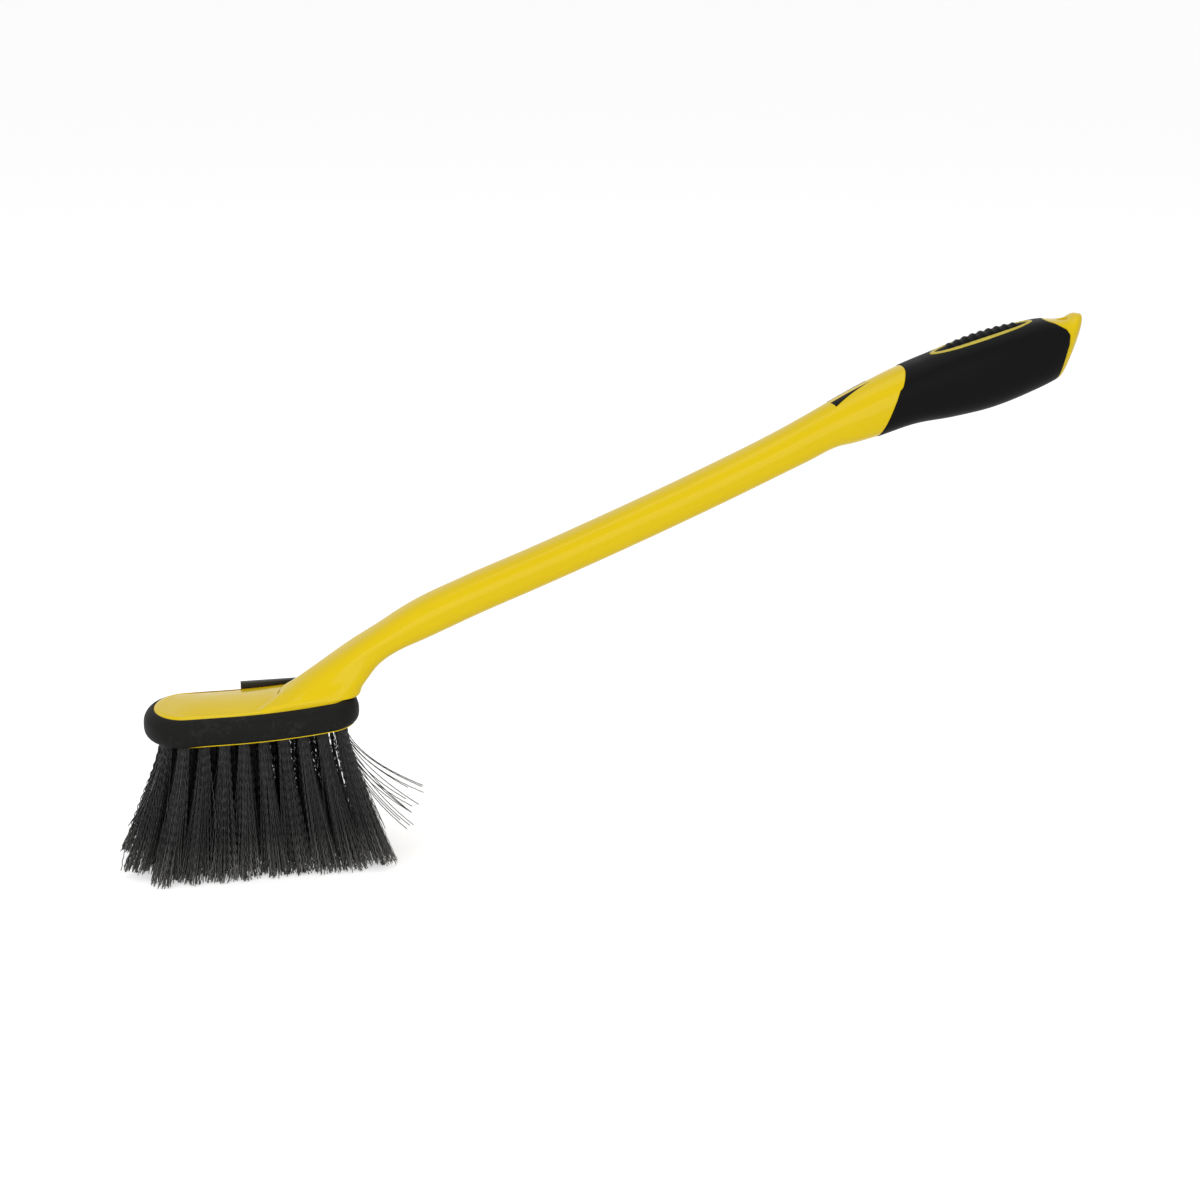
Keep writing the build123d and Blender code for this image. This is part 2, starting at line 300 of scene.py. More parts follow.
@dataclass(frozen=True)
class Plastic:
    """A moulded plastic or rubber finish, with its flow marks and its mould's texture.

    Fields give the two colours that it drifts between, how large the drift is in
    millimetres, roughness, the mould grain in millimetres and how deep it reads, the
    clear coat, the specular level and the filler of its pattern.
    """

    name: str
    colour: str
    drift_colour: str
    drift_mm: float
    roughness: float
    roughness_spread: float
    grain_mm: float
    grain_depth: float
    coat: float = 0.0
    specular: float = 0.5
    filler: Filler = Filler.MOULDED

    def material(self) -> Material:
        """Build the node material."""
        made, tree, shader = new_material(self.name)
        place = node(tree, "ShaderNodeTexCoord").outputs["Object"]
        drift = noise(tree, place, self.drift_mm, 3.0, 0.55)
        colour = mix(tree, drift, self.colour, self.drift_colour)
        if self.filler is Filler.DUSTED:
            colour = self._dust(tree, place, colour)
        tree.links.new(colour, shader.inputs["Base Color"])
        wear = noise(tree, place, self.drift_mm * 0.23, 5.0, 0.6)
        low, high = self.roughness - self.roughness_spread, self.roughness + self.roughness_spread
        tree.links.new(map_range(tree, wear, low, high), shader.inputs["Roughness"])
        height = noise(tree, place, self.grain_mm)
        if self.filler is Filler.SPARKED:
            pits = node(
                tree, "ShaderNodeTexVoronoi", links={"Vector": place},
                Scale=1.0 / (self.grain_mm * 1.7 * MM),
            )
            height = node(
                tree, "ShaderNodeMath", {"operation": "ADD"},
                links={0: height, 1: pits.outputs["Distance"]},
            ).outputs[0]
        bump = node(
            tree, "ShaderNodeBump", links={"Height": height},
            Strength=self.grain_depth, Distance=self.grain_mm * 0.25 * MM,
        )
        tree.links.new(bump.outputs["Normal"], shader.inputs["Normal"])
        put(
            shader, IOR=1.49, Specular_IOR_Level=self.specular,
            Coat_Weight=self.coat, Coat_Roughness=0.12,
        )
        return made

    def _dust(self, tree: Tree, place: Socket, colour: Socket) -> Socket:
        """Lay thin grey handling dust and scuffs over the colour."""
        share = node(
            tree, "ShaderNodeMath", {"operation": "MULTIPLY"},
            links={0: noise(tree, place, 2.2, 6.0, 0.7), 1: noise(tree, place, 14.0)},
        )
        amount = node(
            tree, "ShaderNodeMapRange", links={"Value": share.outputs[0]},
            From_Min=0.27, From_Max=0.50, To_Min=0.0, To_Max=0.15,
        )
        return mix(tree, amount.outputs["Result"], colour, "#6a6a68")


@dataclass(frozen=True)
class Filament:
    """Crimped polypropylene filament, black at the root and frayed to grey at the tip.

    Fields give the colours at the root, toward the tip and at the tip.
    """

    name: str
    root: str
    middle: str
    tip: str

    def material(self) -> Material:
        """Build the node material, read along each strand from the piece's own map, with each
        strand brightened by its own share of painted light.
        """
        made, tree, shader = new_material(self.name)
        strand = node(tree, "ShaderNodeUVMap", {"uv_map": BAKE_UV})
        parts = node(tree, "ShaderNodeSeparateXYZ", links={0: strand.outputs["UV"]})
        ramp = node(tree, "ShaderNodeValToRGB", links={"Fac": parts.outputs["Y"]})
        ramp.color_ramp.elements[0].color = linear(self.root)
        ramp.color_ramp.elements[0].position = 0.1
        ramp.color_ramp.elements[1].color = linear(self.tip)
        ramp.color_ramp.elements[1].position = 1.0
        ramp.color_ramp.elements.new(0.72).color = linear(self.middle)
        # Painted light: each strand's colour is scaled by a random share, so a few strands are
        # painted bright like ones catching the lamps.
        each = node(tree, "ShaderNodeAttribute", {"attribute_name": STRAND_PAINTED_LIGHT})
        shade = map_range(tree, each.outputs["Fac"], 0.45, 3.6)
        colour = node(
            tree, "ShaderNodeVectorMath", {"operation": "SCALE"},
            links={0: ramp.outputs["Color"], "Scale": shade},
        )
        tree.links.new(colour.outputs[0], shader.inputs["Base Color"])
        put(shader, Roughness=0.34, IOR=1.49)
        return made


@dataclass(frozen=True)
class Metal:
    """A drawn metal finish."""

    name: str
    colour: str
    roughness: float

    def material(self) -> Material:
        """Build the node material, with fine wear over the wire."""
        made, tree, shader = new_material(self.name)
        place = node(tree, "ShaderNodeTexCoord").outputs["Object"]
        rough = map_range(
            tree, noise(tree, place, 0.3), self.roughness - 0.08, self.roughness + 0.08
        )
        tree.links.new(rough, shader.inputs["Roughness"])
        put(shader, Base_Color=linear(self.colour), Metallic=1.0)
        return made


# Gloss polypropylene from a polished tool: clean soft highlights and a faint ripple of flow.
YELLOW = Plastic(
    "gloss_yellow_polypropylene", "#edce02", "#e6c502", 60.0, 0.13, 0.03, 2.4, 0.05,
    specular=0.14, coat=0.06,
)
# The same plastic on the thin frame of the pad, from a sparked part of the tool: paler, duller.
FRAME_YELLOW = Plastic(
    "satin_yellow_polypropylene", "#cdb93c", "#c2ae34", 18.0, 0.34, 0.04, 0.5, 0.12, specular=0.3,
)
# Thermoplastic rubber from a sparked tool: matte, with handling dust caught in its grain.
BUMPER_RUBBER = Plastic(
    "matte_black_bumper_rubber", "#1b1b1a", "#161615", 25.0, 0.58, 0.07, 0.45, 0.35,
    specular=0.09, filler=Filler.DUSTED,
)
# Thermoplastic rubber of the grip: deeper black and a little smoother from the hand.
GRIP_RUBBER = Plastic(
    "satin_black_grip_rubber", "#121212", "#0f0f0f", 30.0, 0.46, 0.05, 0.35, 0.25,
    specular=0.06, filler=Filler.SPARKED,
)
# Rigid black plastic of the scraper, with the dull skin of a regrind moulding.
SCRAPER_PLASTIC = Plastic("matte_black_plastic", "#201f1b", "#191917", 12.0, 0.45, 0.08, 0.6, 0.2)
BRISTLE = Filament("crimped_black_filament", "#161616", "#1c1c1b", "#504f4c")
ANCHOR_WIRE = Metal("drawn_brass_wire", "#c9a24a", 0.32)


# ------------------------------------------------------------------ shared form of head and handle
@dataclass
class HeadPlan:
    """Plan and bow of the head: half-ellipse nose, straight sides, round rear corners."""

    nose_x: float = -47.0
    rear_x: float = 47.0
    half_width: float = 20.0
    nose_depth: float = 15.0
    corner: float = 9.0
    bow_start: float = -12.0
    low_radius: float = 420.0
    top_radius: float = 400.0
    edge_z: float = 81.5
    crown: float = 2.2
    crown_run: float = 16.0

    def rise(self, x: Array, radius: float) -> Array:
        """How far a level bowed to this radius has risen at x: a circle tangent at bow_start."""
        reach = np.maximum(0.0, x - self.bow_start)
        return radius - np.sqrt(radius**2 - reach**2)

    def half_outline(self, grow: float, count: int) -> Array:
        """Plan of the +Y half from the nose to the middle of the rear, grown outward.

        A quarter ellipse, a straight side, a quarter circle and a straight rear, spread
        evenly by length.

        Args:
            grow: how far outside the head's own plan.
            count: how many points.
        Returns:
            Array (count, 2).
        """
        turn = np.linspace(0.0, np.pi / 2, 60)
        centre = self.nose_x + self.nose_depth
        width = self.half_width + grow
        nose = np.stack([
            centre - (self.nose_depth + grow) * np.cos(turn), width * np.sin(turn)
        ], axis=1)
        radius = self.corner + grow
        corner = np.stack([
            self.rear_x - self.corner + radius * np.sin(turn),
            width - radius + radius * np.cos(turn),
        ], axis=1)
        rear = np.array([[self.rear_x + grow, 0.0]])
        return resample(np.concatenate([nose, corner, rear]), count)

    def deck_z(self, x: Array, y: Array) -> Array:
        """Height of the deck: edge level, plus the bow, plus a parabola of crown across it."""
        front = smooth((x - self.nose_x) / self.crown_run)
        across = 1.0 - np.clip(np.abs(y) / self.half_width, 0.0, 1.0) ** 2
        return self.edge_z + self.rise(x, self.top_radius) + self.crown * across * front


@dataclass(frozen=True)
class Section:
    """One ring of the handle.

    Fields: side-view place of its front (upper) and rear (lower) edge, half its width, how
    square its front and rear halves are, how far its front corners reach forward, how far they
    fall, and how far the +Y corner slips back to leave room for the scraper.
    """

    front: Point
    rear: Point
    half_width: float
    front_power: float = 3.2
    rear_power: float = 2.6
    wing: float = 0.0
    drop: float = 0.0
    slip: float = 0.0

    def ring(self, half: int) -> Array:
        """Points of the ring, from the front round by +Y to the rear and back by -Y.

        A superellipse in the plane of the two edges.  Its sides are drawn forward, and down, by
        the square of their share of the width, all at the front and nothing at the rear.  The
        +Y side then slips back by the 1.5th power of its share of the width.

        Args:
            half: how many steps to take round each half.
        Returns:
            Array (2 * half, 3).
        """
        turn = np.linspace(0.0, np.pi, 400)
        c, s = np.cos(turn), np.sin(turn)
        power = np.where(c > 0, self.front_power, self.rear_power)
        along = bent(c, 2.0 / power)
        across = np.abs(s) ** (2.0 / power)
        share = (1.0 - along) / 2.0
        ahead = (1.0 + along) / 2.0
        x = self.front[0] + share * (self.rear[0] - self.front[0])
        z = self.front[1] + share * (self.rear[1] - self.front[1])
        x = x - self.wing * across**2 * ahead
        z = z - self.drop * across**2 * ahead**2
        run = resample(np.stack([x, across * self.half_width, z, ahead], axis=1), half + 1)
        ring = mirrored(run[:, :3])
        far = np.clip(ring[:, 1] / self.half_width, 0.0, 1.0) ** 1.5
        ring[:, 0] += self.slip * far * np.concatenate([run[:, 3], run[-2:0:-1, 3]])
        return ring


def mirrored(points: Array) -> Array:
    """Close a +Y half ring into a whole ring by mirroring it back along -Y."""
    back = points[-2:0:-1] * np.array([1.0, -1.0, 1.0])
    return np.concatenate([points, back])


@dataclass
class HandleForm:
    """The outer surface from the rim of the deck to the tail, as one run of rings.

    The deck's rings come first, then the foot of the neck, the neck, the shaft and the grip.
    A run of rings is spaced by how far their middles move, or by stretch of how far their
    points move where that is more.
    """

    plan: HeadPlan = field(default_factory=HeadPlan)
    half: int = 64
    stretch: float = 0.35
    foot: Section = Section((12.2, 0.0), (47.6, 0.0), 19.4, 4.4, 6.0, wing=18.5, slip=22.0)
    neck: tuple[Section, ...] = (
        Section((15.0, 87.4), (51.6, 85.6), 19.3, 4.0, 5.0, wing=18.5, drop=5.4, slip=22.0),
        Section((20.6, 90.7), (54.8, 89.6), 17.6, 3.2, 4.0, wing=13.0, drop=6.4, slip=16.0),
        Section((27.5, 94.9), (58.6, 93.8), 15.4, 2.8, 3.5, wing=7.6, drop=5.4, slip=8.0),
        Section((36.4, 100.2), (62.4, 97.8), 13.5, 2.7, 3.1, wing=3.6, drop=2.8, slip=2.5),
        Section((50.0, 108.4), (68.4, 102.1), 12.2, 2.7, 2.8, wing=1.0, drop=0.4),
        Section((63.0, 116.2), (75.2, 105.4), 12.0, 2.6, 2.6),
        Section((76.2, 124.3), (84.4, 108.8), 12.0, 2.6, 2.6),
    )
    shaft: tuple[Section, ...] = (
        Section((106.4, 137.9), (113.7, 120.8), 12.0, 2.5),
        Section((136.7, 149.4), (143.5, 132.2), 12.0, 2.5),
        Section((181.6, 167.3), (188.6, 150.1), 12.0, 2.5),
        Section((226.3, 186.2), (233.9, 169.0), 12.0, 2.4),
        Section((271.0, 206.7), (279.2, 188.8), 12.0, 2.3),
        Section((289.2, 216.2), (295.4, 195.9), 12.6, 2.2),
        Section((296.6, 220.1), (302.6, 197.2), 13.3, 2.2),
    )
    grip: tuple[Section, ...] = (
        Section((306.4, 225.0), (312.6, 199.6), 14.0, 2.2),
        Section((325.9, 233.6), (334.3, 205.9), 15.0, 2.4),
        Section((346.0, 240.8), (354.2, 208.5), 15.5, 2.7),
        Section((365.5, 247.1), (374.7, 212.5), 16.0, 2.8),
        Section((385.5, 252.1), (394.6, 219.3), 15.0, 2.8),
        Section((401.0, 255.0), (407.0, 224.5), 13.0, 2.8),
        Section((413.5, 255.2), (410.5, 226.2), 10.6, 3.0, 2.4),
        Section((418.6, 257.6), (412.4, 229.8), 8.8, 2.8, 2.3),
        Section((421.0, 257.4), (414.0, 233.0), 6.8, 2.6, 2.3),
    )
    rings: Array = field(init=False)
    stops: Array = field(init=False)
    deck_count: int = field(init=False)

    def __post_init__(self) -> None:
        """Lay the deck's rings, then the neck's, shaft's and grip's."""
        deck = self._deck_rings()
        rest = [section.ring(self.half) for section in self.neck + self.shaft + self.grip]
        self.rings = np.stack(deck + rest)
        moves = np.linalg.norm(np.diff(self.rings.mean(axis=1), axis=0), axis=1)
        farthest = np.abs(np.diff(self.rings, axis=0)).max(axis=(1, 2))
        steps = np.maximum(moves, self.stretch * farthest)
        self.stops = np.concatenate([[0.0], np.cumsum(steps)])
        self.deck_count = len(deck)

    def _deck_rings(self) -> list[Array]:
        """Rings of the deck, from its sunken wall up over the rim and in to the neck's foot."""
        plan = self.plan
        rings = []
        for grow, lift in RIM_STEPS:
            flat = plan.half_outline(grow, self.half + 1)
            z = plan.deck_z(flat[:, 0], flat[:, 1]) + lift
            rings.append(mirrored(np.column_stack([flat, z])))
        rim, foot = rings[-1], self.foot.ring(self.half)
        for share in COVE_SHARES:
            flat = rim[:, :2] * (1 - share) + foot[:, :2] * share
            rings.append(np.column_stack([flat, plan.deck_z(flat[:, 0], flat[:, 1])]))
        return rings

    def surface(self, at: Array) -> Array:
        """Points of the outer surface at places along the run, given once or per column."""
        return blend_rings(self.rings, self.stops, at)

    def stop_of(self, section: Section) -> float:
        """Place along the run of one of the form's own sections."""
        index = (self.neck + self.shaft + self.grip).index(section)
        return float(self.stops[self.deck_count + index])

    def crossing(self, line: Sequence[Point]) -> Array:
        """Where each lengthwise line of the grip passes a side-view line.

        Args:
            line: (x, z) points; x is read off the line at each height.
        Returns:
            One place along the run for every column.
        """
        start, end = self.stop_of(self.shaft[-2]), float(self.stops[-1])
        at = np.linspace(start, end, 1200)
        points = self.surface(at)
        cut = np.array(sorted(line, key=lambda point: point[1]))
        beyond = points[:, :, 0] - np.interp(points[:, :, 2], cut[:, 1], cut[:, 0])
        passed = np.argmax(beyond > 0, axis=0)
        passed = np.where(beyond[-1] > 0, np.maximum(passed, 1), len(at) - 1)
        column = np.arange(points.shape[1])
        after, before = beyond[passed, column], beyond[passed - 1, column]
        share = np.clip(-before / np.maximum(after - before, 1e-9), 0.0, 1.0)
        return at[passed - 1] + share * (at[passed] - at[passed - 1])

    def top_z(self, x: Array, y: Array) -> Array:
        """Height of the grip's upper side over plan points.

        The heights of the four nearest surface points, weighted by one over their squared
        distance.

        Args:
            x: places along the brush.
            y: places across it.
        Returns:
            One height for each place.
        """
        at = np.linspace(self.stop_of(self.shaft[-2]), float(self.stops[-3]), 700)
        points = self.surface(at)[:, :self.half // 2]
        flat = points[:, :, :2].reshape(-1, 2)
        height = points[:, :, 2].ravel()
        wanted = np.stack([x.ravel(), np.abs(y).ravel()], axis=1)
        away = ((wanted[:, None, 0] - flat[None, :, 0]) ** 2
                + (wanted[:, None, 1] - flat[None, :, 1]) ** 2)
        near = np.argpartition(away, 4, axis=1)[:, :4]
        weight = 1.0 / (np.take_along_axis(away, near, 1) + 1e-4)
        return ((height[near] * weight).sum(1) / weight.sum(1)).reshape(x.shape)


# Side-view lines, (x, z) from low to high, where the sleeve starts and ends.
SLEEVE_FRONT: tuple[Point, ...] = (
    (312.4, 190.0), (314.0, 199.9), (319.4, 214.0), (323.6, 225.2), (325.0, 226.4),
    (326.6, 230.5), (328.4, 234.7), (331.0, 240.0),
)
SLEEVE_REAR: tuple[Point, ...] = (
    (406.4, 215.0), (407.4, 224.0), (409.0, 232.0), (410.8, 238.6), (412.4, 244.0),
    (412.7, 248.6), (411.0, 251.3), (406.0, 253.9), (398.0, 256.2), (390.0, 262.0),
)


def ring_piece(name: str, points: Array, close: tuple[bool, bool] = (False, False)) -> Piece:
    """Mesh a run of rings, closed by hubs or, with no hub, joined round from last to first.

    Args:
        name: object name.
        points: (rows, ring, 3) in millimetres.
        close: whether the first and the last ring are closed with a fan to a hub.
    Returns:
        The linked object.
    """
    rows, columns, _ = points.shape
    flat = points.reshape(-1, 3)
    triangles = []
    for end, wanted in enumerate(close):
        if not wanted:
            continue
        first = 0 if end == 0 else (rows - 1) * columns
        hub = points[0 if end == 0 else -1].mean(axis=0)
        triangles.append(fan(np.arange(first, first + columns), len(flat), flip=end == 1))
        flat = np.vstack([flat, hub])
    hubs = np.concatenate(triangles) if triangles else None
    return add_mesh(name, flat, grid_quads(rows, columns, wrap_rows=not triangles), hubs)


def dress(piece: Piece, finish: Material, slot: str, *nodes: str) -> None:
    """Give a piece its finish and its body, and hide the CAD nodes that it stands for."""
    piece.data.materials.clear()
    piece.data.materials.append(finish)
    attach(piece, BODY)
    if nodes:
        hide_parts(*nodes)
    log.info("%s: %d vertices", piece.name, len(piece.data.vertices))


@dataclass
class Handle:
    """The yellow moulding: deck, neck, shaft and collar, with the start of its tang."""

    form: HandleForm
    rows: int = 420
    tang_depth: float = 2.4
    tang_reach: float = 8.0
    groove: float = 0.45
    head_share: float = 0.36

    def build(self, finish: Material) -> Piece:
        """Mesh the surface up to the sleeve, turn its edge in and run on under the sleeve.

        A fixed share of the rows goes to the deck, and each lengthwise line has its own end.
        """
        end = self.form.crossing(SLEEVE_FRONT)
        share = np.linspace(0.0, 1.0, self.rows)[:, None]
        deck_end = self.form.stops[self.form.deck_count]
        beyond = (share - self.head_share) / (1 - self.head_share)
        at = np.where(
            share < self.head_share,
            deck_end * share / self.head_share,
            deck_end + (end[None, :] - deck_end) * beyond,
        )
        outer = self.form.surface(at)
        sunk = self.form.surface(np.stack([end + 0.1, end + self.tang_reach]))
        normals = grid_normals(sunk)
        lip = outer[-1:] - grid_normals(outer)[-1:] * self.groove
        tang = sunk - normals * self.tang_depth
        points = np.concatenate([outer[:-1], edge_rows(outer, self.groove), lip, tang])
        piece = ring_piece("handle_shell", points, (True, True))
        dress(piece, finish, "yellow_moulding", "handle_body")
        return piece


def edge_rows(outer: Array, depth: float) -> Array:
    """A rounded last edge: rows that fall away by a quarter circle over the groove's depth."""
    normal = grid_normals(outer)[-1]
    along = outer[-1] - outer[-2]
    along = along / np.maximum(np.linalg.norm(along, axis=1, keepdims=True), 1e-9)
    turn = np.linspace(0.0, np.pi / 2, 5)[:-1, None, None]
    radius = depth * EDGE_ROUND
    return outer[-1] - along * radius * (1 - np.sin(turn)) - normal * radius * (1 - np.cos(turn))


@dataclass
class Grip:
    """The black sleeve, as a closed shell between its two cut lines."""

    form: HandleForm
    rows: int = 150
    wall: float = 2.2
    proud: float = 0.25
    sunk: float = 0.5
    edge: float = 0.8
    edge_steps: tuple[float, ...] = (0.0, 0.12, 0.3, 0.6)

    def build(self, finish: Material) -> Piece:
        """Mesh the outside, both edges and the inside as one closed run of rings.

        The outside stands proud by a share that falls to below the yellow at both edges,
        by a quarter circle.
        """
        start = self.form.crossing(SLEEVE_FRONT)
        end = self.form.crossing(SLEEVE_REAR)
        length = np.maximum(end - start, 1.0)
        steps = np.array(self.edge_steps) * self.edge
        share = np.linspace(0.0, 1.0, self.rows)[:, None]
        middle = start + self.edge + share * (length - 2 * self.edge)
        first = start[None, :] + steps[:, None]
        last = end[None, :] - steps[::-1, None]
        at = np.concatenate([first, middle, last])
        outer = self.form.surface(at)
        normal = grid_normals(outer)
        from_edge = np.minimum(at - start, end - at) / self.edge
        round_off = np.sqrt(np.clip(1 - (1 - np.clip(from_edge, 0, 1)) ** 2, 0, 1))
        lift = (self.proud + self.sunk) * round_off - self.sunk
        outside = outer + normal * lift[..., None]
        inside = (outer - normal * self.wall)[::-1]
        piece = ring_piece("grip_cover", np.concatenate([outside, inside]))
        dress(piece, finish, "grip_rubber", "grip_sleeve")
        return piece


@dataclass
class Tail:
    """The yellow tail piece, with its raised lip and the hole for a hook."""

    form: HandleForm
    rows: int = 60
    tang_depth: float = 2.4
    tang_reach: float = 5.0
    groove: float = 0.45
    back_bulge: tuple[float, float, float] = (1.6, 0.0, -0.4)
    hole_radius: float = 2.5
    hole_top: Point = (411.5, 256.0)
    hole_lean: float = 30.0

    def build(self, finish: Material) -> Piece:
        """Mesh the surface behind the sleeve, close its back with a crown and drill it."""
        start = self.form.crossing(SLEEVE_REAR)
        end = self.form.stops[-1]
        share = np.linspace(0.0, 1.0, self.rows)[:, None]
        at = start[None, :] + (end - start[None, :]) * share
        outer = self.form.surface(at)
        flipped = edge_rows(outer[::-1], self.groove)[::-1]
        inner = self.form.surface(np.stack([start - self.tang_reach, start - 0.1]))
        tang = inner - grid_normals(inner) * self.tang_depth
        hub = outer[-1].mean(axis=0) + np.array(self.back_bulge)
        shrink = np.sin(np.linspace(0.0, np.pi / 2, 14))[1:-1, None, None]
        crown = outer[-1] + (hub - outer[-1]) * (1 - np.sqrt(np.clip(1 - shrink**2, 0, 1)))
        points = np.concatenate([tang, flipped, outer[1:], crown])
        piece = ring_piece("tail_piece", points, (True, True))
        self._drill(piece)
        dress(piece, finish, "yellow_moulding", "end_cap")
        return piece

    def _drill(self, piece: Piece) -> None:
        """Cut the hanging hole with a leaning round cutter that flares out at the top."""
        turn = np.linspace(0, 2 * np.pi, 48, endpoint=False)
        lean = np.radians(self.hole_lean)
        axis = np.array([np.sin(lean), 0.0, -np.cos(lean)])
        side = np.array([np.cos(lean), 0.0, np.sin(lean)])
        across = np.array([0.0, 1.0, 0.0])
        radius = self.hole_radius
        flare = np.array([(-8.0, 5.4), (-1.0, 3.6), (1.2, radius), (60.0, radius)])
        middle = np.array([self.hole_top[0], 0.0, self.hole_top[1]])
        points = (
            middle + flare[:, None, :1] * axis
            + flare[:, None, 1:] * (np.cos(turn)[:, None] * across + np.sin(turn)[:, None] * side)
        )
        cutter = ring_piece("hole_cutter", points, (True, True))
        make_outward(cutter)
        make_outward(piece)
        cut = piece.modifiers.new("hole", "BOOLEAN")
        cut.operation = "DIFFERENCE"
        cut.solver = "EXACT"
        cut.object = cutter
        bpy.context.view_layer.objects.active = piece
        bpy.ops.object.modifier_apply(modifier=cut.name)
        bpy.data.objects.remove(cutter)


def make_outward(piece: Piece) -> None:
    """Turn every face of a closed mesh outward."""
    work = bmesh.new()
    work.from_mesh(piece.data)
    bmesh.ops.recalc_face_normals(work, faces=work.faces)
    work.to_mesh(piece.data)
    work.free()


@dataclass
class ThumbPad:
    """The ribbed pad on top of the grip and the yellow bezel that frames it.

    Both lie on the grip's upper side, which slopes there, so lengths along it are shortened
    in plan by the slope.
    """

    form: HandleForm
    centre_x: float = 369.3
    half_length: float = 27.6
    half_width: float = 8.0
    slope: float = 15.0
    narrowing: float = 0.10
    bezel: float = 3.0
    bezel_rise: float = 0.9
    bezel_sink: float = 0.25
    bezel_power: float = 0.7
    dome: float = 1.7
    dome_power: float = 2.4
    rib_height: float = 0.8
    rib_floor: float = 0.55
    ribs: int = 9
    pitch: float = 4.3
    pad_sink: float = 0.2
    pad_skirt: float = 1.6
    probe_x: float = 32.0
    probe_y: float = 6.0

    def _rim(self, grow: float, count: int) -> Array:
        """Plan of the pad grown outward: a lens, fuller than an ellipse toward the head."""
        turn = np.linspace(0, 2 * np.pi, count, endpoint=False)
        tilt = np.cos(np.radians(self.slope))
        x = self.centre_x + (self.half_length + grow) * tilt * np.cos(turn)
        y = (self.half_width + grow) * np.sin(turn) * (1 - self.narrowing * np.cos(turn))
        return np.stack([x, y], axis=1)

    def build(self, bezel_finish: Material, pad_finish: Material) -> None:
        """Mesh the bezel and the pad."""
        self._bezel(bezel_finish)
        self._pad(pad_finish)

    def _bezel(self, finish: Material) -> None:
        """A low rounded strip carried round the pad's plan, lying on the sleeve."""
        count = 160
        turn = np.linspace(0, 2 * np.pi, 14, endpoint=False)
        out = self.bezel / 2 * bent(np.cos(turn), self.bezel_power)
        up = self.bezel_rise * bent(np.sin(turn), self.bezel_power)
        rings = []
        for o, u in zip(out, up):
            flat = self._rim(o - self.bezel / 2, count)
            z = self.form.top_z(flat[:, 0], flat[:, 1]) + u - self.bezel_sink
            rings.append(np.column_stack([flat, z]))
        piece = ring_piece("pad_frame", np.stack(rings))
        make_outward(piece)
        dress(piece, finish, "yellow_moulding", "pad_bezel")

    def _pad(self, finish: Material) -> None:
        """A domed lens crossed by rounded ribs.

        Its height is the sleeve's, plus a dome that falls to nothing at the rim, plus a cosine
        wave cut off at rib_floor below its middle, which fades out at the rim and past the
        last rib.
        """
        count, rings = 200, 56
        shrink = np.linspace(0.0, 1.0, rings)[:, None, None]
        rim = self._rim(-self.bezel + 0.1, count)[None]
        middle = np.array([self.centre_x, 0.0])
        flat = rim + (middle - rim) * shrink
        x, y = flat[..., 0], flat[..., 1]
        reach = 1 - shrink[..., 0]
        dome = self.dome * np.sqrt(np.clip(1 - reach**self.dome_power, 0, 1))
        phase = (x - self.centre_x) / (self.pitch * np.cos(np.radians(self.slope)))
        inside = smooth((self.ribs / 2 - np.abs(phase)) * 4.0)
        floor = self.rib_floor
        wave = (np.clip(np.cos(phase * 2 * np.pi), -floor, 1.0) + floor) / (1 + floor)
        rib = self.rib_height * wave * inside * smooth((1 - reach) * 9.0)
        top = np.stack([x, y, self._base_z(x, y) + dome + rib - self.pad_sink], axis=2)
        skirt_z = self._base_z(rim[0][:, 0], rim[0][:, 1]) - self.pad_skirt
        points = np.concatenate([np.column_stack([rim[0], skirt_z])[None], top[:-1]])
        piece = ring_piece("pad_cover", points, (True, True))
        make_outward(piece)
        dress(piece, finish, "grip_rubber", "thumb_pad")

    def _base_z(self, x: Array, y: Array) -> Array:
        """Sleeve height over plan points: a crown line along x and a parabola across y."""
        line = np.linspace(self.centre_x - self.probe_x, self.centre_x + self.probe_x, 60)
        crown = self.form.top_z(line, np.zeros_like(line))
        side = self.form.top_z(line, np.full_like(line, self.probe_y))
        fall = np.interp(x, line, crown - side)
        return np.interp(x, line, crown) - fall * (y / self.probe_y) ** 2


@dataclass
class Accent:
    """A black wedge let into the top of the collar, wide at the head end."""

    form: HandleForm
    name: str
    stands_for: str
    inner_y: float
    outer_y: float
    start_x: float = 291.6
    lean: float = 1.2
    length: float = 19.6
    taper: float = 1.25
    proud: float = 0.10
    depth: float = 0.9

    def build(self, finish: Material) -> Piece:
        """Mesh the wedge as a closed plate that follows the collar.

        Along it the outer edge closes on the inner one by the power taper; the height is the
        collar's, raised a little on top and sunk on the underside.
        """
        way, across = np.meshgrid(np.linspace(0, 1, 30), np.linspace(0, 1, 9), indexing="ij")
        width = (self.outer_y - self.inner_y) * (1 - way) ** self.taper
        y = self.inner_y + width * across
        x = self.start_x + self.length * way + self.lean * across * (1 - way)
        z = self.form.top_z(x, y)
        top = np.stack([x, y, z + self.proud], axis=2)
        bottom = np.stack([x, y, z - self.depth], axis=2)[:, ::-1]
        points = np.concatenate([top, bottom], axis=1)
        piece = ring_piece(self.name, points, (True, False))
        make_outward(piece)
        dress(piece, finish, "grip_rubber", self.stands_for)
        return piece


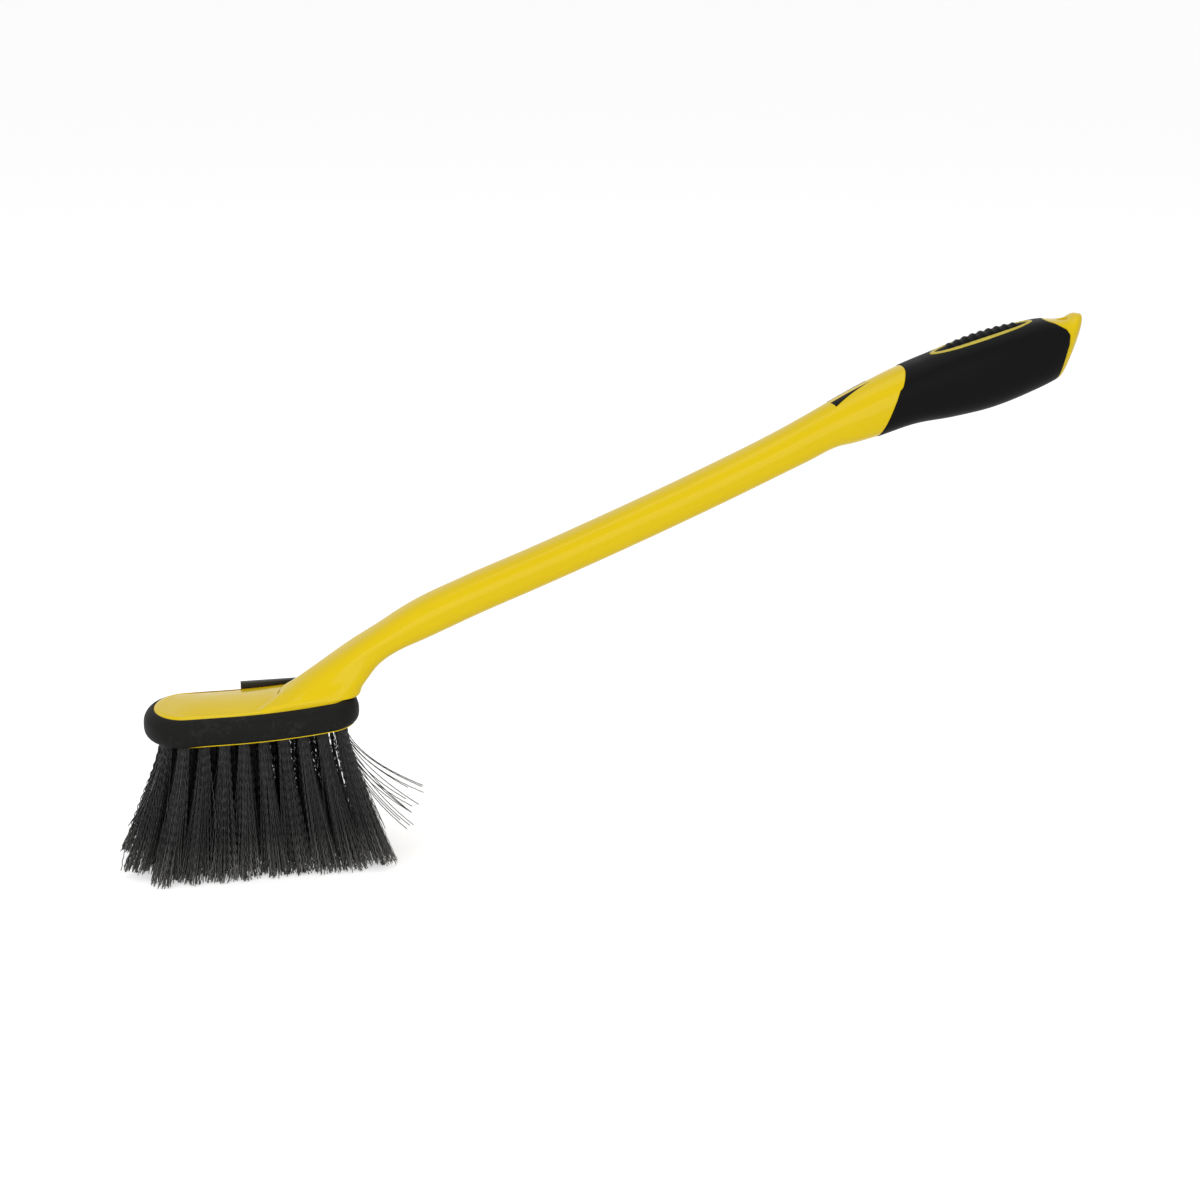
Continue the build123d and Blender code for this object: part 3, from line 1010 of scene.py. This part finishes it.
@dataclass
class Bumper:
    """The soft ring round the head, a little deeper under the nose."""

    plan: HeadPlan
    reach: float = 5.0
    low_z: float = 67.9
    height: float = 13.5
    fall: float = 1.9
    nose_skirt: float = 0.5
    skirt_from: float = -22.0
    skirt_run: float = 14.0
    sink: float = 0.1
    out_power: float = 2.5
    up_power: float = 3.0
    columns: int = 420

    def build(self, finish: Material) -> Piece:
        """Carry a rounded profile round the head's plan and over its bow.

        The profile is the outer half of a superellipse, as deep as the reach and as tall as
        the height, closed by a straight inner side; both its bows follow the head's.
        """
        turn = np.linspace(-np.pi / 2, np.pi / 2, 49)
        out = np.concatenate([np.cos(turn) ** (2.0 / self.out_power), np.zeros(5)])
        up = bent(np.sin(turn), 2.0 / self.up_power)
        up = np.concatenate([up, np.linspace(1.0, -1.0, 7)[1:-1]])
        half = self.columns // 2
        rings = []
        for o, u in zip(out, up):
            grow = self.reach * o - self.sink
            flat = self.plan.half_outline(grow, half + 1)
            share = (u + 1) / 2
            low = self.low_z + self.plan.rise(flat[:, 0], self.plan.low_radius)
            top = self.low_z + self.height + self.plan.rise(flat[:, 0], self.plan.top_radius)
            low = low - self.nose_skirt * smooth((self.skirt_from - flat[:, 0]) / self.skirt_run)
            z = low + (top - low) * share - self.fall * o * smooth(np.array(share))
            rings.append(mirrored(np.column_stack([flat, z])))
        piece = ring_piece("bumper_ring", np.stack(rings))
        make_outward(piece)
        dress(piece, finish, "bumper_rubber", "bumper")
        return piece


@dataclass(frozen=True)
class StrayBunch:
    """Long filaments that bow out of one end of the head.

    Each pair is the range that a filament's value is drawn from: the place of its root, how
    far it reaches along x and y, how late it bows out and the height of its end.
    """

    count: int
    root_x: Point
    root_y: Point
    root_z: float
    reach_x: Point
    reach_y: Point
    power: Point
    end_z: Point

    def lines(self, draws: Draws, segments: int) -> Array:
        """Centre lines of the filaments.

        Each goes out by its own power of the way and down by the 0.9th power, and keeps a
        small crimp: a triangle wave across.

        Args:
            draws: the source of the random values.
            segments: steps along each filament.
        Returns:
            Array (count, segments + 1, 3).
        """
        count = self.count
        root_x = draws.uniform(*self.root_x, count)
        root_y = draws.uniform(*self.root_y, count)
        start = np.column_stack([root_x, root_y, np.full(count, self.root_z)])
        reach_x = draws.uniform(*self.reach_x, count)
        reach = np.column_stack([reach_x, draws.uniform(*self.reach_y, count)])
        power = np.full(count, self.power[0])
        if self.power[0] < self.power[1]:
            power = draws.uniform(*self.power, count)
        end_z = draws.uniform(*self.end_z, count)
        way = np.linspace(0.0, 1.0, segments + 1)[None, :, None]
        flat = start[:, None, :2] + reach[:, None] * way ** power[:, None, None]
        z = start[:, None, 2:] + (end_z[:, None, None] - start[:, None, 2:]) * way**0.9
        line = np.concatenate([flat, z], axis=2)
        phase = way[..., 0] * 16.0 + np.arange(count)[:, None] * 0.37
        line[:, :, 1] += 0.25 * triangle_wave(phase)
        return line


def triangle_wave(phase: Array) -> Array:
    """Wave between minus one and one that repeats with every whole step of the phase."""
    return 4 * np.abs(phase - np.floor(phase) - 0.5) - 1


@dataclass
class Bristles:
    """Crimped filaments, tuft by tuft, in the same places as the block's holes.

    Columns of tufts stand along the head, with a middle row half a pitch out of step, which
    is thin from thin_from on.  The tufts fan out downward by fan_along and fan_across.
    """

    plan: HeadPlan
    length: float = 68.0
    columns: int = 10
    column_pitch: float = 9.4
    row_pitch: float = 7.2
    fan_along: float = 1.38
    fan_across: float = 1.7
    lean_power: float = 1.3
    spread_power: float = 1.35
    root_radius: float = 2.5
    centre_root_radius: float = 1.8
    thin_root_radius: float = 0.5
    thin_strands: int = 20
    thin_from: float = 4.0
    front_tuck: float = 2.2
    end_lift: Point = (3.2, 2.2)
    tip_radius: float = 6.9
    reach_y: float = 31.4
    locks: int = 7
    strand_radius: float = 0.26
    crimp_pitch: float = 4.5
    crimp_depth: float = 0.5
    sides: int = 3
    strands: int = 114
    segments: int = 60
    inner_strands: int = 70
    inner_segments: int = 48
    front_strays: StrayBunch = StrayBunch(
        2, (-43.5, -42.0), (-8.0, 0.0), 70.0, (-21.5, -18.5), (-3.0, 1.0), (1.7, 1.7), (16.0, 24.0)
    )
    rear_strays: StrayBunch = StrayBunch(
        14, (42.0, 45.5), (-16.0, 6.0), 71.5, (25.0, 41.0), (-5.0, 3.0), (1.1, 2.1), (9.0, 31.0)
    )
    seed: int = 20

    def column_x(self, column: int) -> float:
        """Place of a column along the head."""
        return (column - (self.columns - 1) / 2) * self.column_pitch

    def build(self, finish: Material) -> None:
        """Mesh every column of tufts and the centre row."""
        draws = np.random.default_rng(self.seed)
        for column in range(self.columns):
            rows = (-1, 1) if column == 0 else (-2, -1, 1, 2)
            places = [(self.column_x(column), row * self.row_pitch) for row in rows]
            name = f"tuft_column_{column + 1:02d}"
            self._group(name, places, self.strands, self.segments, draws, finish)
        centre = [(self.column_x(c) + self.column_pitch / 2, 0.0) for c in range(self.columns - 1)]
        self._group(
            "tuft_centre_row", centre, self.inner_strands, self.inner_segments, draws, finish
        )

    def _group(
        self, name: str, places: Sequence[Point], strands: int, segments: int, draws: Draws,
        finish: Material,
    ) -> None:
        """Mesh the tufts of one CAD node as one piece.

        Args:
            name: the CAD node.
            places: middle of each tuft's hole.
            strands: filaments in a full tuft.
            segments: steps along each filament.
            draws: the source of the random values.
            finish: the filament's material.
        """
        tufts = []
        for x, y in places:
            thin = y == 0.0 and x > self.thin_from
            root = self.root_radius if y else self.centre_root_radius
            root, kept = (self.thin_root_radius, self.thin_strands) if thin else (root, strands)
            tufts.append(self._tuft(x, y, root, kept, segments, draws))
        if places[0][0] == self.column_x(self.columns - 1):
            tufts.append(self.rear_strays.lines(draws, segments))
        if places[0][0] == self.column_x(0):
            tufts.append(self.front_strays.lines(draws, segments))
        lines = np.concatenate(tufts)
        piece = self._tubes(name.replace("tuft", "bristles"), lines, draws)
        dress(piece, finish, "bristle", name)

    def _tuft(
        self, x: float, y: float, root_radius: float, strands: int, segments: int, draws: Draws
    ) -> Array:
        """Centre lines of one tuft's filaments.

        The tuft leans out by lean_power of the way down and its filaments spread by
        spread_power, with one shift and one crimp phase shared by each lock.  Each filament
        bends a little at random and carries a crimp: a triangle wave square to it.

        Args:
            x: middle of the hole along the head.
            y: middle of the hole across the head.
            root_radius: how wide the tuft leaves the hole.
            strands: filaments in the tuft.
            segments: steps along each filament.
            draws: the source of the random values.
        Returns:
            Array (strands, segments + 1, 3).
        """
        index = np.arange(strands)
        radius = np.sqrt((index + 0.5) / strands)
        angle = index * GOLDEN_ANGLE + draws.uniform(0, 6.28)
        disc = np.stack([np.cos(angle), np.sin(angle)], axis=1) * radius[:, None]
        lock = ((angle / (2 * np.pi) * self.locks) % self.locks).astype(int)
        top = self.length + float(self.plan.rise(np.array(x), self.plan.low_radius)) + 3.0
        lean = np.array([x * (self.fan_along - 1), y * (self.fan_across - 1)])
        spread = disc * self.tip_radius + draws.normal(0, 1.1, (self.locks, 2))[lock]
        spread = spread + draws.normal(0, 0.7, (strands, 2))
        end_z = np.abs(draws.normal(0, 0.5, strands)) + 3.5 * draws.random(strands) ** 9
        tuck = 0.0
        if x == self.column_x(0):
            tuck = self.front_tuck
            end_z = end_z + self.end_lift[0]
        elif x == self.column_x(self.columns - 1):
            end_z = end_z + self.end_lift[1]
        way = np.linspace(0.0, 1.0, segments + 1)[None, :, None]
        flat = np.array([x, y]) + lean * way**self.lean_power
        flat = flat + ((disc * root_radius)[:, None] + np.array([tuck, 0.0])) * (1 - way)
        flat = flat + spread[:, None] * way**self.spread_power
        wild = 1.0 + 6.0 * (draws.random((strands, 1, 1)) < 0.06)
        bend = draws.normal(0, 0.8, (strands, 1, 2)) * wild
        flat = flat + bend * way**2 * (1 - way) * 3.0
        z = top + (end_z[:, None, None] - top) * way
        line = np.concatenate([flat, z], axis=2)
        drop = top * way / self.crimp_pitch + draws.normal(0, 0.09, (strands, 1, 1))
        drop = drop + draws.normal(0, 0.12, (self.locks, 1, 1))[lock] + draws.random()
        turn = draws.normal(draws.uniform(0.7, 2.4), 0.4, (strands, 1))
        direction = np.stack([np.cos(turn), np.sin(turn), np.zeros_like(turn)], axis=2)
        line = line + direction * triangle_wave(drop) * self.crimp_depth
        line[:, :, 1] = np.clip(line[:, :, 1], -self.reach_y, self.reach_y)
        return line

    def _tubes(self, name: str, lines: Array, draws: Draws) -> Piece:
        """Carry a small triangle along every centre line and close its ends.

        The map's u is the strand and its v the way down it; each strand also gets its own share of
        painted light, the cube of a random value, so that few strands are painted bright.

        Args:
            name: object name.
            lines: (strands, points, 3) centre lines.
            draws: the source of the random values.
        Returns:
            The linked object.
        """
        strands, count, _ = lines.shape
        sides = self.sides
        along = np.gradient(lines, axis=1)
        along /= np.linalg.norm(along, axis=2, keepdims=True)
        first = np.cross(along, [0.0, 1.0, 0.0])
        first /= np.linalg.norm(first, axis=2, keepdims=True)
        second = np.cross(along, first)
        turn = np.arange(sides) * 2 * np.pi / sides
        ring = (
            first[:, :, None] * np.cos(turn)[None, None, :, None]
            + second[:, :, None] * np.sin(turn)[None, None, :, None]
        )
        points = lines[:, :, None] + ring * self.strand_radius
        base = (np.arange(strands) * count * sides)[:, None, None]
        i, j = np.meshgrid(np.arange(count - 1), np.arange(sides), indexing="ij")
        k = (j + 1) % sides
        here, below = i * sides, (i + 1) * sides
        quad = np.stack([here + j, here + k, below + k, below + j], axis=2)
        quads = (quad.reshape(1, -1, 4) + base).reshape(-1, 4)
        ends = np.array([[2, 1, 0], [(count - 1) * sides + n for n in range(sides)]])
        triangles = (ends[None] + base).reshape(-1, 3)
        u, v, side = np.meshgrid(
            (np.arange(strands) + 0.5) / strands, np.linspace(0, 1, count), np.arange(sides),
            indexing="ij",
        )
        u = u + (side - 1) * 0.3 / strands
        uv = np.stack([u.ravel(), v.ravel()], axis=1)
        # Each strand's share of painted light: mostly low, a few painted bright as if lit.
        shade = np.repeat(draws.random(strands) ** 3, count * sides)
        return add_mesh(name, points.reshape(-1, 3), quads, triangles, uv, shade)


@dataclass
class CarriedNodes:
    """CAD nodes whose own shape is right, which only take a finish, by node name."""

    finishes: dict[str, Material]

    def build(self) -> None:
        """Put each node's finish in its object's slots; the mesh stays as it is."""
        for name, finish in self.finishes.items():
            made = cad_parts[name]
            for place in made.material_slots:
                place.link = "OBJECT"
                place.material = finish
            log.info("%s: carried over", name)


@dataclass
class Studio:
    """A pale floor, three soft lamps, a plain sky and the camera.

    The camera's target and distance are in millimetres, its swing and elevation in degrees;
    each lamp has a name, a place in metres, a size in metres and a power in watts.
    """

    target: tuple[float, float, float] = (174.824, 0.0, 122.510)
    distance: float = 1245.785
    swing: float = 12.0
    elevation: float = 17.0
    lens: float = 75.0
    lamps: tuple[tuple[str, tuple[float, float, float], float, float], ...] = (
        ("overhead_soft", (0.1, 0.1, 1.7), 1.0, 4.5),
        ("front_soft", (0.1, -1.7, 0.55), 1.3, 9.0),
        ("left_soft", (-1.0, -1.0, 0.8), 0.26, 4.0),
    )
    sky_light: float = 0.5
    floor_glow: float = 0.5
    floor_reach: float = 30000.0
    floor_z: float = -0.4

    def camera(self) -> None:
        """Place the camera on its swing and elevation about the target and make it current."""
        swing, lift = np.radians(self.swing), np.radians(self.elevation)
        back = np.array([
            -np.sin(swing) * np.cos(lift), -np.cos(swing) * np.cos(lift), np.sin(lift)
        ])
        data = bpy.data.cameras.new("studio_camera")
        data.lens = self.lens
        data.sensor_width = 36.0
        data.clip_end = 100.0
        made = add_object("studio_camera", data)
        made.location = (np.array(self.target) + back * self.distance) * MM
        made.rotation_euler = (np.pi / 2 - lift, 0.0, -swing)
        bpy.context.scene.camera = made

    def lights(self) -> None:
        """Hang the area lamps, all aimed at the middle of the brush."""
        aim = np.array(self.target) * MM
        for name, place, size, power in self.lamps:
            data = bpy.data.lights.new(name, "AREA")
            data.size = size
            data.energy = power
            made = add_object(name, data)
            made.location = place
            x, y, z = np.array(place) - aim
            tilt, turn = np.arctan2(np.hypot(x, y), z), np.arctan2(y, x) + np.pi / 2
            made.rotation_euler = (tilt, 0.0, turn)

    @staticmethod
    def _seen(tree: Tree) -> Socket:
        """One for rays from the camera, a reflection or glass, and zero for lighting rays."""
        path = node(tree, "ShaderNodeLightPath")
        direct = node(
            tree, "ShaderNodeMath", {"operation": "ADD"},
            links={0: path.outputs["Is Camera Ray"], 1: path.outputs["Is Glossy Ray"]},
        )
        every = node(
            tree, "ShaderNodeMath", {"operation": "ADD", "use_clamp": True},
            links={0: direct.outputs[0], 1: path.outputs["Is Transmission Ray"]},
        )
        return every.outputs[0]

    def world(self) -> None:
        """A plain pale sky, white where the camera or a reflection sees it."""
        world = bpy.data.worlds.new("studio_sky")
        bpy.context.scene.world = world
        world.use_nodes = True
        tree = world.node_tree
        sky = tree.nodes["Background"]
        put(sky, Color=linear("#ffffff"))
        strength = map_range(tree, self._seen(tree), self.sky_light, 1.0)
        tree.links.new(strength, sky.inputs["Strength"])
        bpy.context.scene.view_settings.view_transform = "Standard"

    def floor(self) -> None:
        """A wide matte floor under the bristle tips, white to the camera but for shadows."""
        sides = np.array([(-1, -1), (1, -1), (1, 1), (-1, 1)], float) * self.floor_reach
        points = np.column_stack([sides, np.full(4, self.floor_z)])
        made = add_mesh("studio_floor", points, np.array([[0, 1, 2, 3]]))
        paint, tree, shader = new_material("pale_matte_floor")
        put(shader, Base_Color=linear("#f4f4f4"), Roughness=0.9, Specular_IOR_Level=0.1)
        put(shader, Emission_Color=linear("#ffffff"))
        glow = map_range(tree, self._seen(tree), 0.0, self.floor_glow)
        tree.links.new(glow, shader.inputs["Emission Strength"])
        made.data.materials.append(paint)

    def build(self) -> None:
        """Set up everything around the object."""
        self.lights()
        self.world()
        self.floor()


def main() -> None:
    """Build the brush, piece by piece, and the studio round it."""
    logging.basicConfig(level=logging.INFO, format="%(name)s %(message)s")
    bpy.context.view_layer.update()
    studio = Studio()
    studio.camera()
    form = HandleForm()
    yellow, grip = YELLOW.material(), GRIP_RUBBER.material()
    Handle(form).build(yellow)
    Grip(form).build(grip)
    Tail(form).build(yellow)
    ThumbPad(form).build(FRAME_YELLOW.material(), grip)
    Accent(form, "accent_wedge_near", "accent_inlay_near", -0.6, -6.6).build(grip)
    Accent(form, "accent_wedge_far", "accent_inlay_far", 5.0, 8.6).build(grip)
    Bumper(form.plan).build(BUMPER_RUBBER.material())
    Bristles(form.plan).build(BRISTLE.material())
    CarriedNodes({
        "brush_block": yellow,
        "scraper_blade": SCRAPER_PLASTIC.material(),
        "tuft_anchors": ANCHOR_WIRE.material(),
    }).build()
    studio.build()


if __name__ == "__main__":
    main()
